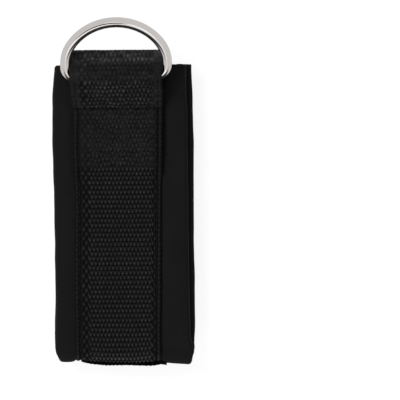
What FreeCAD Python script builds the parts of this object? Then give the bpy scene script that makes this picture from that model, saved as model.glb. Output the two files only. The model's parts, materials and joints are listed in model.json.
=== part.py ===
import FreeCAD, Part
import math
import os

# Cable-machine ankle cuff, lying flat and folded in half. Millimetres.
# X runs across the cuff, +Y towards the D-ring, +Z up from the surface that the cuff lies on.
# The origin is under the middle of the whole object's bounding box.

os.makedirs("parts", exist_ok=True)
Vector = FreeCAD.Vector
X_AXIS = Vector(1, 0, 0)

# Layers of the pad
PAD_WIDTH = 76.5
PAD_THICKNESS = 4.5
COVER_THICKNESS = 0.45
PAD_EDGE_RADIUS = 2.1
PAD_CORNER_RADIUS = 3.0
PAD_GAP = 0.3
# The two halves do not quite line up: each is narrower by this much at its free end, on opposite sides
PAD_SKEW = 2.9

# Webbing and hook-and-loop tape
WEBBING_THICKNESS = 1.4
LOOP_WIDTH = 48.8
BOX_WIDTH = 48.6
STRAP_WIDTH_AT_FOLD = 46.4
TAIL_WIDTH = 46.0
STRAP_CENTRE = -3.4
LOOP_TAPE_THICKNESS = 1.0
LOOP_TAPE_WIDTH = 46.6
LOOP_TAPE_CENTRE = -0.6
HOOK_TAPE_THICKNESS = 0.8
HOOK_TAPE_WIDTH = 36.0
TAPE_GAP = 0.4

# Places along the cuff
OVERALL_LENGTH = 189.0
CUFF_END = 69.0
LOOP_REACH = 77.6
SEAM_Y = 46.1
TUCKED_END_Y = 12.8
TAIL_HINGE_Y = 72.0
TAIL_END_Y = -78.0
HOOK_TAPE_START_Y = 2.0
LOOP_TAPE_START_Y = 58.0
FOLD_TAPE_START_DEG = 62.0

# D-ring
ROD_DIAMETER = 5.2
RING_WIDTH = 60.3
RING_CORNER_RADIUS = 6.5
RING_ARM_LENGTH = 1.9
RING_ARCH_RISE = 23.9
RING_ARCH_SIDE_RADIUS = 20.0
RING_TILT_DEG = 25.0
RING_YAW_DEG = 1.6

# Ring loop: the webbing keeps clear of the ring's rounded corners as the ring swings
BAR_CLEARANCE = 0.25
CROWN_INNER_RADIUS = 5.4
LOOP_TURN_RADIUS = 2.9
LANDING_RADIUS = 4.0
LANDING_RUN = 1.9
LAYER_GAP = 0.1

# Sewing thread
THREAD = 0.5
THREAD_HEIGHT = 0.3
BOX_MARGIN = 3.2
EDGE_ROW_INSET = 2.3
TAPE_ROW_INSET = 1.3

# Clearance that lets the halves and the tail turn about their folds
HINGE_GAP = 0.15

# Heights, from the surface upwards
TAIL_TOP = WEBBING_THICKNESS
HOOK_TOP = TAIL_TOP + HOOK_TAPE_THICKNESS
LOOP_TAPE_BOTTOM = HOOK_TOP + TAPE_GAP
BACK_STRAP_BOTTOM = LOOP_TAPE_BOTTOM + LOOP_TAPE_THICKNESS
BACK_PAD_BOTTOM = BACK_STRAP_BOTTOM + WEBBING_THICKNESS
CREASE_Z = BACK_PAD_BOTTOM + PAD_THICKNESS + PAD_GAP / 2
FRONT_PAD_BOTTOM = CREASE_Z + PAD_GAP / 2
FRONT_PAD_TOP = FRONT_PAD_BOTTOM + PAD_THICKNESS
FRONT_STRAP_TOP = FRONT_PAD_TOP + WEBBING_THICKNESS
UPPER_LAYER_BOTTOM = FRONT_STRAP_TOP + LAYER_GAP
BOX_TOP = UPPER_LAYER_BOTTOM + WEBBING_THICKNESS

# The bar of the D-ring, placed so that the ring's top is the far end of the object
RING_REACH = RING_CORNER_RADIUS + RING_ARM_LENGTH + RING_ARCH_RISE
RING_REACH_ACROSS = RING_REACH * math.cos(math.radians(RING_TILT_DEG)) * math.cos(math.radians(RING_YAW_DEG))
BAR_Y = OVERALL_LENGTH / 2 - ROD_DIAMETER / 2 - RING_REACH_ACROSS
BAR_Z = FRONT_STRAP_TOP + BAR_CLEARANCE + ROD_DIAMETER / 2

# Radii of the bottom fold, from the crease outwards
LINING_INNER_R = PAD_GAP / 2
PAD_OUTER_R = LINING_INNER_R + PAD_THICKNESS
STRAP_OUTER_R = PAD_OUTER_R + WEBBING_THICKNESS
TAPE_OUTER_R = STRAP_OUTER_R + LOOP_TAPE_THICKNESS
CREASE_Y = TAPE_OUTER_R - OVERALL_LENGTH / 2

# The tail turns down from the back strap to the surface, about an axis at this height
TAIL_HINGE_Z = BACK_PAD_BOTTOM / 2


def save(name, shape):
    """Writes one node. Every solid in it has to be valid."""
    if not shape.isValid():
        raise ValueError(name + " isn't a valid shape")
    shape.exportStep("parts/" + name + ".step")


def box(x_low, x_high, y_low, y_high, z_low, z_high):
    """A plain block between the given planes."""
    corner = Vector(x_low, y_low, z_low)
    return Part.makeBox(x_high - x_low, y_high - y_low, z_high - z_low, corner)


# ---------------------------------------------------------------- pad


def unit(vector):
    """The same direction at length 1."""
    return vector * (1.0 / vector.Length)


def rounded_polygon(corners, radii):
    """A flat face with the given corners, each rounded to its radius, or sharp where the radius is zero."""
    edges = []
    ends = []
    for i, corner in enumerate(corners):
        before = unit(corner - corners[i - 1])
        after = unit(corners[(i + 1) % len(corners)] - corner)
        half_turn = before.getAngle(after) / 2
        cut = radii[i] * math.tan(half_turn)
        enter = corner - before * cut
        leave = corner + after * cut
        ends.append((enter, leave))
        if radii[i] > 0:
            rise = radii[i] / math.cos(half_turn) - radii[i]
            middle = corner + unit(after - before) * rise
            edges.append(Part.Arc(enter, middle, leave).toShape())
    for i, (enter, leave) in enumerate(ends):
        edges.append(Part.makeLine(ends[i - 1][1], enter))
    return Part.Face(Part.Wire(Part.__sortEdges__(edges)))


def half_layer(inset, end_low, end_high, z_bottom):
    """One half of the pad or of its core, set in all round. end_low and end_high are its sides at the end."""
    start = CREASE_Y + HINGE_GAP
    end = CUFF_END - inset
    side = PAD_WIDTH / 2 - inset
    z = z_bottom + inset
    outline = [Vector(-side, start, z), Vector(side, start, z)]
    outline += [Vector(end_high - inset, end, z), Vector(end_low + inset, end, z)]
    corner_radius = PAD_CORNER_RADIUS - inset
    face = rounded_polygon(outline, [0, 0, corner_radius, corner_radius])
    block = face.extrude(Vector(0, 0, PAD_THICKNESS - 2 * inset))
    rim = []
    for edge in block.Edges:
        level = edge.BoundBox.ZLength < 1e-6
        at_crease = edge.BoundBox.YMax < start + 1e-6
        if level and not at_crease:
            rim.append(edge)
    return block.makeFillet(PAD_EDGE_RADIUS - inset, rim)


def half_pad(z_bottom, end_low, end_high, outer_side_up):
    """Foam, outer cover and lining of one half of the pad."""
    envelope = half_layer(0, end_low, end_high, z_bottom)
    foam = half_layer(COVER_THICKNESS, end_low, end_high, z_bottom)
    skin = envelope.cut(foam)
    middle = z_bottom + PAD_THICKNESS / 2
    far = OVERALL_LENGTH
    upper = skin.common(box(-far, far, -far, far, middle, middle + far))
    lower = skin.common(box(-far, far, -far, far, middle - far, middle))
    if outer_side_up:
        return foam, upper, lower
    return foam, lower, upper


def fold_layer(inset):
    """The pad, or its core, round the bottom fold, half a turn about the crease."""
    side = PAD_WIDTH / 2 - inset
    low = FRONT_PAD_BOTTOM + inset
    high = FRONT_PAD_TOP - inset
    outline = [Vector(-side, CREASE_Y, low), Vector(side, CREASE_Y, low)]
    outline += [Vector(side, CREASE_Y, high), Vector(-side, CREASE_Y, high)]
    face = rounded_polygon(outline, [PAD_EDGE_RADIUS - inset] * 4)
    return face.revolve(Vector(0, CREASE_Y, CREASE_Z), X_AXIS, 180)


def fold_pad():
    """Foam, outer cover and lining of the bend at the bottom fold."""
    envelope = fold_layer(0)
    foam = fold_layer(COVER_THICKNESS)
    skin = envelope.cut(foam)
    middle = LINING_INNER_R + PAD_THICKNESS / 2
    drum = Part.makeCylinder(middle, 2 * PAD_WIDTH, Vector(-PAD_WIDTH, CREASE_Y, CREASE_Z), X_AXIS)
    return foam, skin.cut(drum), skin.common(drum)


def save_layers(name, layers):
    """Writes the three layers of one length of the pad."""
    for layer, shape in zip(("foam", "cover", "lining"), layers):
        save(name + "_" + layer, shape)


def build_pad():
    """The folded pad: a front half, a back half and the bend between them."""
    full = PAD_WIDTH / 2
    narrow = full - PAD_SKEW
    save_layers("front", half_pad(FRONT_PAD_BOTTOM, -full, narrow, True))
    save_layers("back", half_pad(BACK_PAD_BOTTOM, -narrow, full, False))
    save_layers("fold", fold_pad())


# ---------------------------------------------------------------- webbing


def ribbon_face(points, radii, thickness):
    """The side view of a strap: a path of straight runs and tangent arcs in a plane of constant x,
    thickened to both sides. radii holds one centreline radius for each inner point."""
    left = []
    right = []
    start = points[0]
    for i, radius in enumerate(radii):
        corner = points[i + 1]
        before = unit(corner - points[i])
        after = unit(points[i + 2] - corner)
        turn = before.getAngle(after)
        cut = radius * math.tan(turn / 2)
        enter = corner - before * cut
        leave = corner + after * cut
        side = 1.0 if before.cross(after).x > 0 else -1.0
        normal = X_AXIS.cross(before)
        centre = enter + normal * (side * radius)
        middle = centre + unit(corner - centre) * radius
        add_run(left, right, start, enter, thickness)
        add_arc(left, right, (enter, middle, leave), centre, radius, side, thickness)
        start = leave
    add_run(left, right, start, points[-1], thickness)
    first_cap = Part.makeLine(right[0].Vertexes[0].Point, left[0].Vertexes[0].Point)
    last_cap = Part.makeLine(left[-1].Vertexes[1].Point, right[-1].Vertexes[1].Point)
    edges = [first_cap] + left + [last_cap] + right[::-1]
    return Part.Face(Part.Wire(Part.__sortEdges__(edges)))


def add_run(left, right, start, end, thickness):
    """Adds the two sides of a straight run, unless the run has no length."""
    if (end - start).Length < 1e-6:
        return
    offset = X_AXIS.cross(unit(end - start)) * (thickness / 2)
    left.append(Part.makeLine(start + offset, end + offset))
    right.append(Part.makeLine(start - offset, end - offset))


def add_arc(left, right, through, centre, radius, side, thickness):
    """Adds the two sides of a bend. side is 1 when the path turns to its left."""
    for edges, shift in ((left, -side), (right, side)):
        scale = (radius + shift * thickness / 2) / radius
        ends = [centre + (p - centre) * scale for p in through]
        edges.append(Part.Arc(*ends).toShape())


def yz(y, z):
    """A point of a side view."""
    return Vector(0, y, z)


def strap(points, radii, thickness, width, centre_x):
    """A strap of constant width along a side-view path."""
    face = ribbon_face(points, radii, thickness)
    face.translate(Vector(centre_x - width / 2, 0, 0))
    return face.extrude(Vector(width, 0, 0))


def tangent_over(circle, radius, point):
    """Slope angle of the line from a point that passes over a circle, touching its top."""
    gap = circle - point
    base = math.atan2(gap.z, abs(gap.y))
    return base + math.asin(radius / gap.Length)


def ring_loop_path():
    """The webbing from the seam, along the pad, round the turn and back over the ring's bar."""
    half = WEBBING_THICKNESS / 2
    turn_r = LOOP_TURN_RADIUS
    lower = FRONT_PAD_TOP + half
    upper = UPPER_LAYER_BOTTOM + half
    reach = LOOP_REACH - half
    top_corner = yz(reach, lower + 2 * turn_r)
    landing = yz(SEAM_Y + LANDING_RUN, upper)
    bar = yz(BAR_Y, BAR_Z)
    bend_r = CROWN_INNER_RADIUS + half
    rise_out = math.tan(tangent_over(bar, bend_r, top_corner))
    rise_in = math.tan(tangent_over(bar, bend_r, landing))
    apex_y = top_corner.z + rise_out * top_corner.y - landing.z + rise_in * landing.y
    apex_y /= rise_in + rise_out
    apex = yz(apex_y, landing.z + rise_in * (apex_y - landing.y))
    points = [yz(SEAM_Y, lower), yz(reach, lower), top_corner, apex, landing, yz(SEAM_Y, upper)]
    return points, [turn_r, turn_r, bend_r, LANDING_RADIUS]


def tapered_front_strap():
    """The upper webbing from the seam, over the tucked-in end, down to the fold. It narrows a little."""
    half = WEBBING_THICKNESS / 2
    upper = UPPER_LAYER_BOTTOM + half
    lower = FRONT_PAD_TOP + half
    end = CREASE_Y + HINGE_GAP
    step_top = TUCKED_END_Y - 0.8
    step_bottom = step_top - 3.5
    points = [yz(SEAM_Y, upper), yz(step_top, upper), yz(step_bottom, lower), yz(end, lower)]
    full = strap(points, [3.0, 3.0], WEBBING_THICKNESS, BOX_WIDTH, STRAP_CENTRE)
    wide = BOX_WIDTH / 2
    narrow = STRAP_WIDTH_AT_FOLD / 2
    outline = [(-wide, SEAM_Y), (wide, SEAM_Y), (wide, step_bottom), (narrow, end)]
    outline += [(-narrow, end), (-wide, step_bottom), (-wide, SEAM_Y)]
    corners = [Vector(STRAP_CENTRE + x, y, 0) for x, y in outline]
    plan = Part.Face(Part.makePolygon(corners)).extrude(Vector(0, 0, 3 * FRONT_STRAP_TOP))
    return full.common(plan)


def bend(inner_r, outer_r, width, centre_x, start_deg, axis_y, axis_z, towards):
    """Part of a ring about a fold's axis, from start_deg past the upward direction to straight down.
    towards is -1 for the bend at the crease and 1 for the one at the tail."""
    left = centre_x - width / 2
    right = centre_x + width / 2
    low = axis_z + inner_r
    high = axis_z + outer_r
    outline = [(left, low), (right, low), (right, high), (left, high), (left, low)]
    face = Part.Face(Part.makePolygon([Vector(x, axis_y, z) for x, z in outline]))
    centre = Vector(0, axis_y, axis_z)
    axis = X_AXIS * (-towards)
    face.rotate(centre, axis, start_deg)
    return face.revolve(centre, axis, 180 - start_deg)


def build_webbing():
    """The one long strap, parted where it crosses a fold and where it enters the box of stitches."""
    points, radii = ring_loop_path()
    save("ring_loop", strap(points, radii, WEBBING_THICKNESS, LOOP_WIDTH, STRAP_CENTRE))
    save("front_strap", tapered_front_strap())
    left = STRAP_CENTRE - BOX_WIDTH / 2
    right = STRAP_CENTRE + BOX_WIDTH / 2
    save("tucked_end", box(left, right, TUCKED_END_Y, SEAM_Y, FRONT_PAD_TOP, FRONT_STRAP_TOP))
    fold = bend(PAD_OUTER_R, STRAP_OUTER_R, STRAP_WIDTH_AT_FOLD, STRAP_CENTRE, 0, CREASE_Y, CREASE_Z, -1)
    save("fold_strap", fold)
    left = STRAP_CENTRE - STRAP_WIDTH_AT_FOLD / 2
    right = STRAP_CENTRE + STRAP_WIDTH_AT_FOLD / 2
    start = CREASE_Y + HINGE_GAP
    end = TAIL_HINGE_Y - HINGE_GAP
    save("back_strap", box(left, right, start, end, BACK_STRAP_BOTTOM, BACK_PAD_BOTTOM))
    inner = TAIL_HINGE_Z - WEBBING_THICKNESS
    turn = bend(inner, TAIL_HINGE_Z, TAIL_WIDTH, STRAP_CENTRE, 0, TAIL_HINGE_Y, TAIL_HINGE_Z, 1)
    save("tail_turn", turn)
    left = STRAP_CENTRE - TAIL_WIDTH / 2
    right = STRAP_CENTRE + TAIL_WIDTH / 2
    save("tail_strap", box(left, right, TAIL_END_Y, end, 0, TAIL_TOP))


def build_tapes():
    """Loop tape on the strap's outer face, from the fold up the back, and hook tape on the tail."""
    left = LOOP_TAPE_CENTRE - LOOP_TAPE_WIDTH / 2
    right = LOOP_TAPE_CENTRE + LOOP_TAPE_WIDTH / 2
    start = CREASE_Y + HINGE_GAP
    save("loop_tape", box(left, right, start, LOOP_TAPE_START_Y, LOOP_TAPE_BOTTOM, BACK_STRAP_BOTTOM))
    fold = bend(STRAP_OUTER_R, TAPE_OUTER_R, LOOP_TAPE_WIDTH, LOOP_TAPE_CENTRE, FOLD_TAPE_START_DEG,
                CREASE_Y, CREASE_Z, -1)
    save("fold_loop_tape", fold)
    left = STRAP_CENTRE - HOOK_TAPE_WIDTH / 2
    right = STRAP_CENTRE + HOOK_TAPE_WIDTH / 2
    save("hook_tape", box(left, right, TAIL_END_Y, HOOK_TAPE_START_Y, TAIL_TOP, HOOK_TOP))


# ---------------------------------------------------------------- stitching


def thread(start, end, z_bottom):
    """One straight row of thread lying on a face, as a flat bar."""
    along = end - start
    side = unit(Vector(-along.y, along.x, 0)) * (THREAD / 2)
    corners = [start + side, end + side, end - side, start - side, start + side]
    face = Part.Face(Part.makePolygon([Vector(p.x, p.y, z_bottom) for p in corners]))
    return face.extrude(Vector(0, 0, THREAD_HEIGHT))


def box_and_cross(left, right, low, high, z_bottom):
    """A rectangle of stitches with both diagonals, fused where the rows cross."""
    corners = [Vector(left, low, 0), Vector(right, low, 0), Vector(right, high, 0), Vector(left, high, 0)]
    rows = [thread(corners[i], corners[(i + 1) % 4], z_bottom) for i in range(4)]
    rows.append(thread(corners[0], corners[2], z_bottom))
    rows.append(thread(corners[1], corners[3], z_bottom))
    return rows[0].multiFuse(rows[1:]).removeSplitter()


def build_stitching():
    """Thread on the outer faces."""
    half = BOX_WIDTH / 2 - BOX_MARGIN
    box_low = TUCKED_END_Y + 1.6
    box_high = SEAM_Y - 0.8
    left = STRAP_CENTRE - half
    right = STRAP_CENTRE + half
    save("box_x_stitching", box_and_cross(left, right, box_low, box_high, BOX_TOP))

    rows = []
    start_y = TUCKED_END_Y - 6.0
    end_y = CREASE_Y + 0.4
    for side in (-1, 1):
        start = Vector(STRAP_CENTRE + side * (BOX_WIDTH / 2 - EDGE_ROW_INSET), start_y, 0)
        end = Vector(STRAP_CENTRE + side * (STRAP_WIDTH_AT_FOLD / 2 - EDGE_ROW_INSET), end_y, 0)
        rows.append(thread(start, end, FRONT_STRAP_TOP))
    save("strap_edge_stitching", Part.makeCompound(rows))

    rows = []
    for side in (-1, 1):
        x = LOOP_TAPE_CENTRE + side * (LOOP_TAPE_WIDTH / 2 - TAPE_ROW_INSET)
        z_bottom = LOOP_TAPE_BOTTOM - THREAD_HEIGHT
        rows.append(thread(Vector(x, end_y, 0), Vector(x, LOOP_TAPE_START_Y - 1.0, 0), z_bottom))
    save("loop_tape_stitching", Part.makeCompound(rows))

    rows = []
    for side in (-1, 1):
        x = STRAP_CENTRE + side * (HOOK_TAPE_WIDTH / 2 - TAPE_ROW_INSET)
        start = Vector(x, TAIL_END_Y + 1.0, 0)
        rows.append(thread(start, Vector(x, HOOK_TAPE_START_Y - 1.0, 0), HOOK_TOP))
    save("hook_tape_stitching", Part.makeCompound(rows))


# ---------------------------------------------------------------- D-ring


def rod_run(start, end):
    """A straight stretch of the ring's rod."""
    along = end - start
    return Part.makeCylinder(ROD_DIAMETER / 2, along.Length, start, along)


def rod_bend(centre, start, turn_deg):
    """A bend of the rod in the ring's plane z = 0, from a start point round a centre."""
    spoke = unit(start - centre)
    along = Vector(0, 0, 1).cross(spoke)
    circle = Part.Circle(start, along, ROD_DIAMETER / 2).toShape()
    face = Part.Face(Part.Wire([circle]))
    return face.revolve(centre, Vector(0, 0, 1), turn_deg)


def flat_ring():
    """The D-ring in the plane z = 0, its bar along X through the origin and its arch towards +Y."""
    half = (RING_WIDTH - ROD_DIAMETER) / 2
    corner = RING_CORNER_RADIUS
    base = corner + RING_ARM_LENGTH
    side_r = RING_ARCH_SIDE_RADIUS
    rise = RING_ARCH_RISE
    top_r = ((half - side_r) ** 2 + rise ** 2 - side_r ** 2) / (2 * (rise - side_r))
    lean = math.degrees(math.atan2(top_r - rise, half - side_r))
    side_deg = 90 - math.degrees(math.atan2(half - side_r, top_r - rise))
    pieces = [rod_run(Vector(corner - half, 0, 0), Vector(half - corner, 0, 0))]
    pieces.append(rod_bend(Vector(half - corner, corner, 0), Vector(half - corner, 0, 0), 90))
    pieces.append(rod_run(Vector(half, corner, 0), Vector(half, base, 0)))
    side_centre = Vector(half - side_r, base, 0)
    pieces.append(rod_bend(side_centre, Vector(half, base, 0), side_deg))
    angle = math.radians(lean)
    joint = side_centre + Vector(math.cos(angle), math.sin(angle), 0) * side_r
    top_centre = Vector(0, base + rise - top_r, 0)
    pieces.append(rod_bend(top_centre, joint, 90 - lean))
    mirrored = [p.mirror(Vector(0, 0, 0), X_AXIS) for p in pieces[1:]]
    return pieces[0].multiFuse(pieces[1:] + mirrored).removeSplitter()


def build_ring():
    """The D-ring in its loop, its arch raised and turned a little."""
    ring = flat_ring()
    origin = Vector(0, 0, 0)
    ring.rotate(origin, X_AXIS, RING_TILT_DEG)
    ring.rotate(origin, Vector(0, 0, 1), RING_YAW_DEG)
    ring.translate(Vector(STRAP_CENTRE, BAR_Y, BAR_Z))
    save("d_ring", ring)


build_pad()
build_webbing()
build_tapes()
build_stitching()
build_ring()
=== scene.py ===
import json
import math

import bpy
import numpy as np
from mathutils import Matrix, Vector
from mathutils.kdtree import KDTree


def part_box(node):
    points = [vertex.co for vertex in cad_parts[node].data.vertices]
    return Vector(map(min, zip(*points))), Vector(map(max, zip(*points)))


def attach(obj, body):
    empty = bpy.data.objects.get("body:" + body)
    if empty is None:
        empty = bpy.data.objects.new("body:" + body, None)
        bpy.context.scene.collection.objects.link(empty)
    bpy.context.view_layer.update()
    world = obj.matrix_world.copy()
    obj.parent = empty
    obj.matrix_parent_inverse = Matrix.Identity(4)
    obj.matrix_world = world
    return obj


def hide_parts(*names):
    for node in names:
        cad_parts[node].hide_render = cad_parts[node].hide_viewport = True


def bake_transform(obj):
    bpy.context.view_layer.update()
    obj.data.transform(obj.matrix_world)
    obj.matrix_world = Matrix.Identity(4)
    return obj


# Cable-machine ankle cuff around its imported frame. Shapes are worked out in millimetres, and turned into
# metres where a mesh is made.

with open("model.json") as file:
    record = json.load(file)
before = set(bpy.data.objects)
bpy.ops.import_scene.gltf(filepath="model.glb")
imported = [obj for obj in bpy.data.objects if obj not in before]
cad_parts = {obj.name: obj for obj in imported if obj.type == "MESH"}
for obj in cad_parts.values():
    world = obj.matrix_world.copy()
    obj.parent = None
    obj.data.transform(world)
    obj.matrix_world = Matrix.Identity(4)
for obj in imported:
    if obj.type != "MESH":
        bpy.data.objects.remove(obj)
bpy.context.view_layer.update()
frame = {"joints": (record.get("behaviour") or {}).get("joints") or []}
MM = 0.001


def node_box(node):
    """Lowest and highest corner of a CAD node, in millimetres."""
    low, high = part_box(node)
    return np.array(low) / MM, np.array(high) / MM


def joint_place(name):
    """A point on a joint's axis in millimetres, and the axis."""
    joint = next(j for j in frame["joints"] if j["name"] == name)
    return np.array(joint["pos_m"]) / MM, np.array(joint["axis"], float)


CREASE = joint_place("unfold")[0]
BAR, BAR_AXIS = joint_place("ring_swing")
TAIL_AXIS = joint_place("tail_peel")[0]

FRONT_HIGH = node_box("front_cover")[1]
BACK_LOW = node_box("back_cover")[0]
LINING_LOW = node_box("front_lining")[0]
STRAP_LOW, STRAP_HIGH = node_box("front_strap")
LOOP_LOW, LOOP_HIGH = node_box("ring_loop")
TUCK_LOW, TUCK_HIGH = node_box("tucked_end")
BACK_STRAP_LOW, BACK_STRAP_HIGH = node_box("back_strap")
TAIL_LOW, TAIL_HIGH = node_box("tail_strap")
LOOP_TAPE_LOW, LOOP_TAPE_HIGH = node_box("loop_tape")
HOOK_TAPE_LOW, HOOK_TAPE_HIGH = node_box("hook_tape")
STITCH_LOW, STITCH_HIGH = node_box("box_x_stitching")

STRAP_X = (STRAP_LOW[0] + STRAP_HIGH[0]) / 2
WEBBING = TUCK_HIGH[2] - TUCK_LOW[2]
PAD = FRONT_HIGH[2] - LINING_LOW[2]
PAD_OUTER_R = FRONT_HIGH[2] - CREASE[2]
PAD_INNER_R = LINING_LOW[2] - CREASE[2]
STRAP_OUTER_R = PAD_OUTER_R + WEBBING
LOOP_TAPE_THICK = LOOP_TAPE_HIGH[2] - LOOP_TAPE_LOW[2]
SEAM_Y = LOOP_LOW[1]


# ---- numbers


def hash01(a, b, seed):
    """Repeatable numbers from 0 to 1 for whole numbers a and b."""
    return np.mod(np.sin(a * 12.9898 + b * 78.233 + seed * 37.719) * 43758.5453, 1.0)


def noise(x, y, seed=0):
    """Smooth noise from -1 to 1 whose cells are one unit wide."""
    xi, yi = np.floor(x), np.floor(y)
    fx, fy = x - xi, y - yi
    fx = fx * fx * (3 - 2 * fx)
    fy = fy * fy * (3 - 2 * fy)
    low = hash01(xi, yi, seed) * (1 - fx) + hash01(xi + 1, yi, seed) * fx
    high = hash01(xi, yi + 1, seed) * (1 - fx) + hash01(xi + 1, yi + 1, seed) * fx
    return 2 * (low * (1 - fy) + high * fy) - 1


def ramp(x, start, end):
    """0 before start, 1 after end and a smooth step between them. start may be above end."""
    t = np.clip((x - start) / (end - start), 0, 1)
    return t * t * (3 - 2 * t)


def curve(x, *pairs):
    """A smooth curve through (x, value) pairs, level beyond the first and the last."""
    xs = np.array([p[0] for p in pairs], float)
    ys = np.array([p[1] for p in pairs], float)
    slopes = np.gradient(ys, xs)
    i = np.clip(np.searchsorted(xs, x) - 1, 0, len(xs) - 2)
    width = xs[i + 1] - xs[i]
    t = np.clip((x - xs[i]) / width, 0, 1)
    rise = ys[i + 1] - ys[i]
    bend_in = slopes[i] * width
    bend_out = slopes[i + 1] * width
    cubic = bend_in + bend_out - 2 * rise
    return ys[i] + t * (bend_in + t * (3 * rise - 2 * bend_in - bend_out + t * cubic))


def outline(*pairs):
    """The same curve, as a function of x."""
    return lambda x: curve(x, *pairs)


def lobe(x, middle, width):
    """A bell of height 1."""
    return np.exp(-(((x - middle) / width) ** 2))


def distances(line):
    """How far along a line each of its points is."""
    return np.concatenate([[0], np.cumsum(np.linalg.norm(np.diff(line, axis=0), axis=1))])


def on_line(line, s):
    """Points of a flat line at distances s along it."""
    lengths = distances(line)
    return np.stack([np.interp(s, lengths, line[:, k]) for k in (0, 1)], -1)


def unit(vectors):
    return vectors / np.linalg.norm(vectors, axis=1)[:, None]


def grid(x, y, z):
    """Points from their coordinates, each of which may be a row, a column or the whole grid."""
    return np.stack(np.broadcast_arrays(x, y, z), -1)


def rotated(points, first, second, angle):
    """Points turned from axis number first towards axis number second."""
    turned = points.copy()
    a, b = points[..., first], points[..., second]
    turned[..., first] = a * math.cos(angle) - b * math.sin(angle)
    turned[..., second] = a * math.sin(angle) + b * math.cos(angle)
    return turned


# ---- meshes


def add_object(name, data):
    obj = bpy.data.objects.new(name, data)
    bpy.context.scene.collection.objects.link(obj)
    return obj


def make_mesh(name, points, faces, crown=None):
    """A smooth-shaded mesh object from points in millimetres. crown is a value per point for its material."""
    mesh = bpy.data.meshes.new(name)
    mesh.from_pydata((np.asarray(points) * MM).tolist(), [], faces)
    mesh.validate()
    mesh.polygons.foreach_set("use_smooth", [True] * len(mesh.polygons))
    for cap in [p for p in mesh.polygons if p.loop_total > 4]:
        for loop in cap.loop_indices:
            mesh.edges[mesh.loops[loop].edge_index].use_edge_sharp = True
    if crown is not None:
        attribute = mesh.attributes.new("crown", "FLOAT", "POINT")
        attribute.data.foreach_set("value", np.asarray(crown, np.float32).ravel())
    return add_object(name, mesh)


def loft_faces(rows, count, offset=0, closed=False):
    """Faces of a tube through rows sections of count points each, with flat ends unless it is closed."""
    r = np.arange(rows if closed else rows - 1)[:, None]
    k = np.arange(count)[None, :]
    after = (r + 1) % rows
    beside = (k + 1) % count
    quads = np.stack([r * count + k, r * count + beside, after * count + beside, after * count + k], -1)
    faces = (quads.reshape(-1, 4) + offset).tolist()
    if not closed:
        faces.append([offset + i for i in range(count)][::-1])
        faces.append([offset + (rows - 1) * count + i for i in range(count)])
    return faces


def loft(name, sections, crown=None, closed=False):
    """A closed mesh through sections, an array of rows by points by 3. Its faces point outwards."""
    rows, count = sections.shape[:2]
    faces = loft_faces(rows, count, closed=closed)
    points = sections.reshape(-1, 3)
    corners = np.array([f[:4] for f in faces[: (rows - 1) * count]])
    a, b, c = (points[corners[:, i]] for i in range(3))
    volume = np.einsum("ij,ij->i", a, np.cross(b, c)).sum()
    if volume < 0:
        faces = [f[::-1] for f in faces]
    return make_mesh(name, points, faces, crown)


def join_tubes(name, tubes, crown=None):
    """One mesh of many separate closed tubes, each an array of rows by points by 3."""
    points, faces, start = [], [], 0
    for tube in tubes:
        rows, count = tube.shape[:2]
        points.append(tube.reshape(-1, 3))
        faces += loft_faces(rows, count, start)
        start += rows * count
    return make_mesh(name, np.concatenate(points), faces, crown)


def circles(path, side, top, radii, sides):
    """A circle of points round each point of a path, in the plane of two directions."""
    turn = np.linspace(0, 2 * math.pi, sides, endpoint=False)
    spokes = side[:, None, :] * np.cos(turn)[None, :, None] + top[:, None, :] * np.sin(turn)[None, :, None]
    return path[:, None, :] + spokes * np.asarray(radii)[:, None, None]


def tube_along(path, radii, sides, up=(0.0, 0.0, 1.0)):
    """A tube along a line of points, with a radius at each of them."""
    along = unit(np.gradient(path, axis=0))
    side = unit(np.cross(along, np.array(up)))
    return circles(path, side, np.cross(side, along), radii, sides)


# ---- materials


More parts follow.
